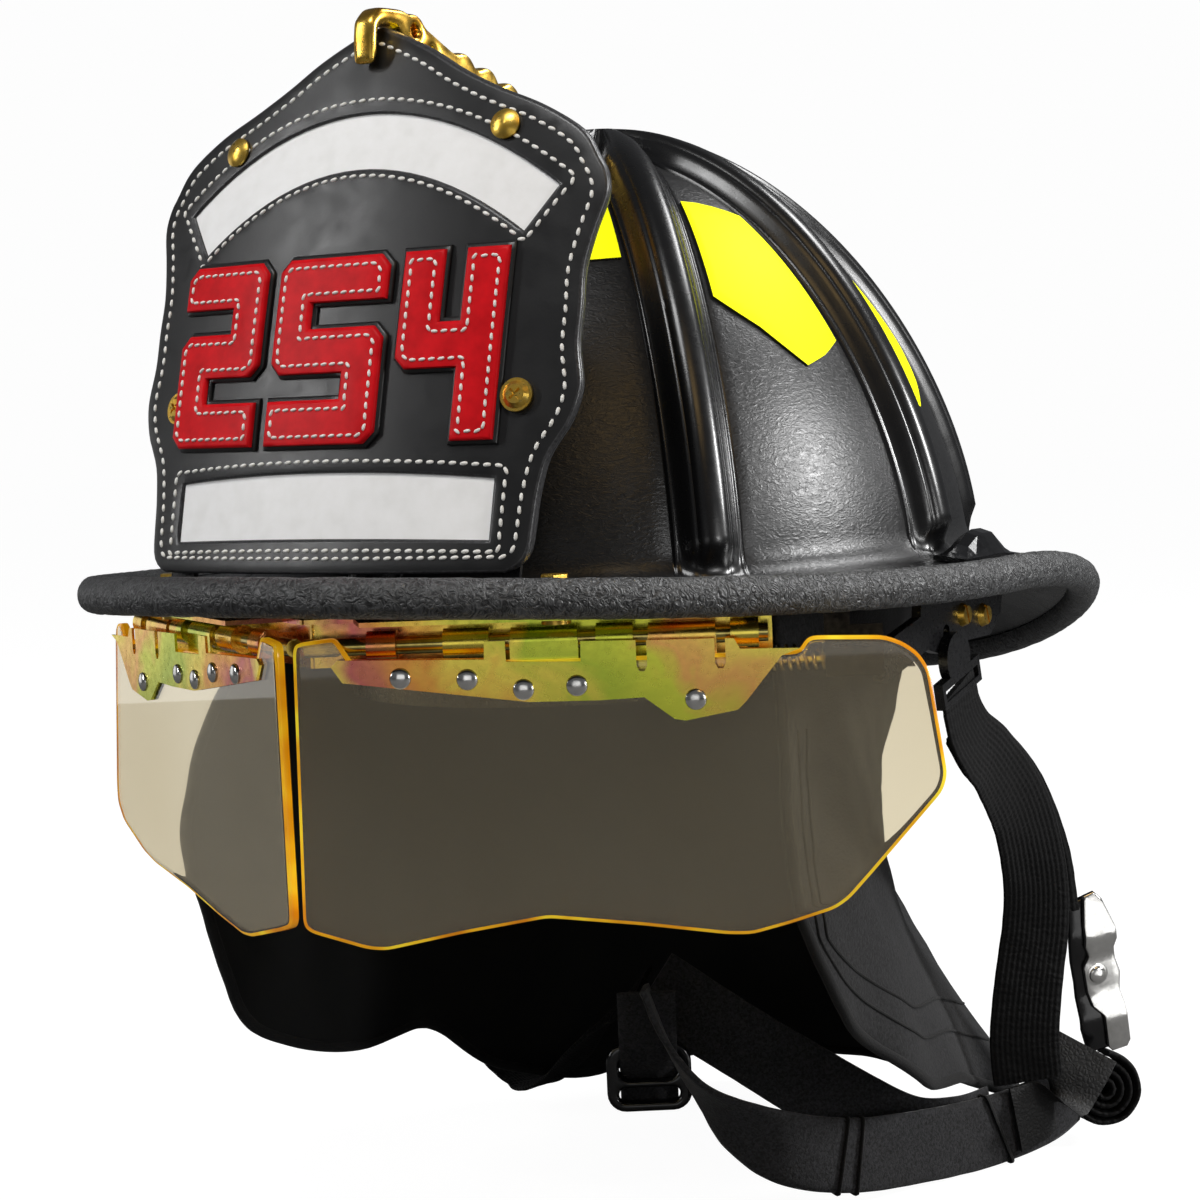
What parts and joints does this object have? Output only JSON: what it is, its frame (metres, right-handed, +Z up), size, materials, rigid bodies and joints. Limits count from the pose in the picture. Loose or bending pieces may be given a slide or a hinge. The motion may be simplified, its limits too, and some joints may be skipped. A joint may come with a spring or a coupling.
{
  "type": "fire helmet",
  "caption": "Traditional ribbed fire helmet with a wide beaded brim, leather front shield, flip-down eye shields, ear cover and chin strap.",
  "frame": {"origin": "on the helmet's middle plane at the level of the brim's sides, at the middle of the brim's edge bead from side to side", "axes": "+Z up through the crown, -Y to the front of the helmet, +X to the wearer's left"},
  "size_m": [0.3009, 0.387, 0.3692],
  "materials": {
    "shell_plastic": "satin black moulded shell",
    "bead_rubber": "wrinkled black rubber",
    "reflective_sheet": "fluorescent lime-yellow sheet",
    "cap_foam": "black foam",
    "pad_cloth": "black knitted cloth",
    "black_plastic": "black moulded plastic",
    "webbing": "black woven webbing",
    "shield_leather": "smooth black leather",
    "brass": "polished brass",
    "plated_steel": "yellow chromate plated steel",
    "lens_clear": "smoke-tinted clear plastic with an amber edge",
    "bright_steel": "bright steel",
    "black_steel": "black painted steel",
    "cover_cloth": "black padded cloth",
    "band_cloth": "black suede-like cloth"
  },
  "bodies": {
    "helmet": {"shell": "shell_plastic", "brim_bead": "bead_rubber", "reflective_patches": "reflective_sheet", "impact_cap": "cap_foam", "headband": "black_plastic", "brow_pad": "pad_cloth", "crown_straps": "webbing", "strap_keys": "black_plastic", "ratchet_housing": "black_plastic", "front_shield": "shield_leather", "shield_fasteners": "brass", "shield_tabs": "black_steel", "front_holder": "brass", "eyeshield_rail": "plated_steel", "rail_posts": "plated_steel", "hinge_pin_left": "plated_steel", "hinge_pin_right": "plated_steel", "spring_rod_left": "plated_steel", "spring_rod_right": "plated_steel", "tension_spring_left": "plated_steel", "tension_spring_right": "plated_steel", "slotted_plate_left": "bright_steel", "slotted_plate_right": "bright_steel", "clip_cover_left": "black_plastic", "clip_cover_right": "black_plastic", "strap_bracket_left": "black_steel", "strap_bracket_right": "black_steel", "bracket_screws_left": "brass", "bracket_screws_right": "brass", "strap_lug_left": "black_plastic", "strap_lug_right": "black_plastic", "ear_cover": "cover_cloth", "chin_webbing": "webbing", "chin_band": "band_cloth", "chin_inner_band": "band_cloth", "chin_webbing_far": "webbing", "chin_tail": "webbing", "strap_slide": "bright_steel", "strap_ring": "black_plastic"},
    "eye_shield_left": {"lens_left": "lens_clear", "outer_plate_left": "plated_steel", "inner_plate_left": "plated_steel", "plate_rivets_left": "bright_steel"},
    "eye_shield_right": {"lens_right": "lens_clear", "outer_plate_right": "plated_steel", "inner_plate_right": "plated_steel", "plate_rivets_right": "bright_steel"},
    "knob": {"ratchet_knob": "black_plastic"}
  },
  "joints": [
    {"name": "eye_shield_left_hinge", "type": "hinge", "parent": "helmet", "child": "eye_shield_left", "pos_m": [-0.00247, -0.15645, -0.008], "axis": [-0.8788, -0.4772, 0], "range_deg": [0, 44]},
    {"name": "eye_shield_right_hinge", "type": "hinge", "parent": "helmet", "child": "eye_shield_right", "pos_m": [0.00247, -0.15645, -0.008], "axis": [-0.8788, 0.4772, 0], "range_deg": [0, 44]},
    {"name": "ratchet_turn", "type": "hinge", "parent": "helmet", "child": "knob", "pos_m": [0, 0.12065, -0.022], "axis": [0, 1, 0], "continuous": true}
  ]
}
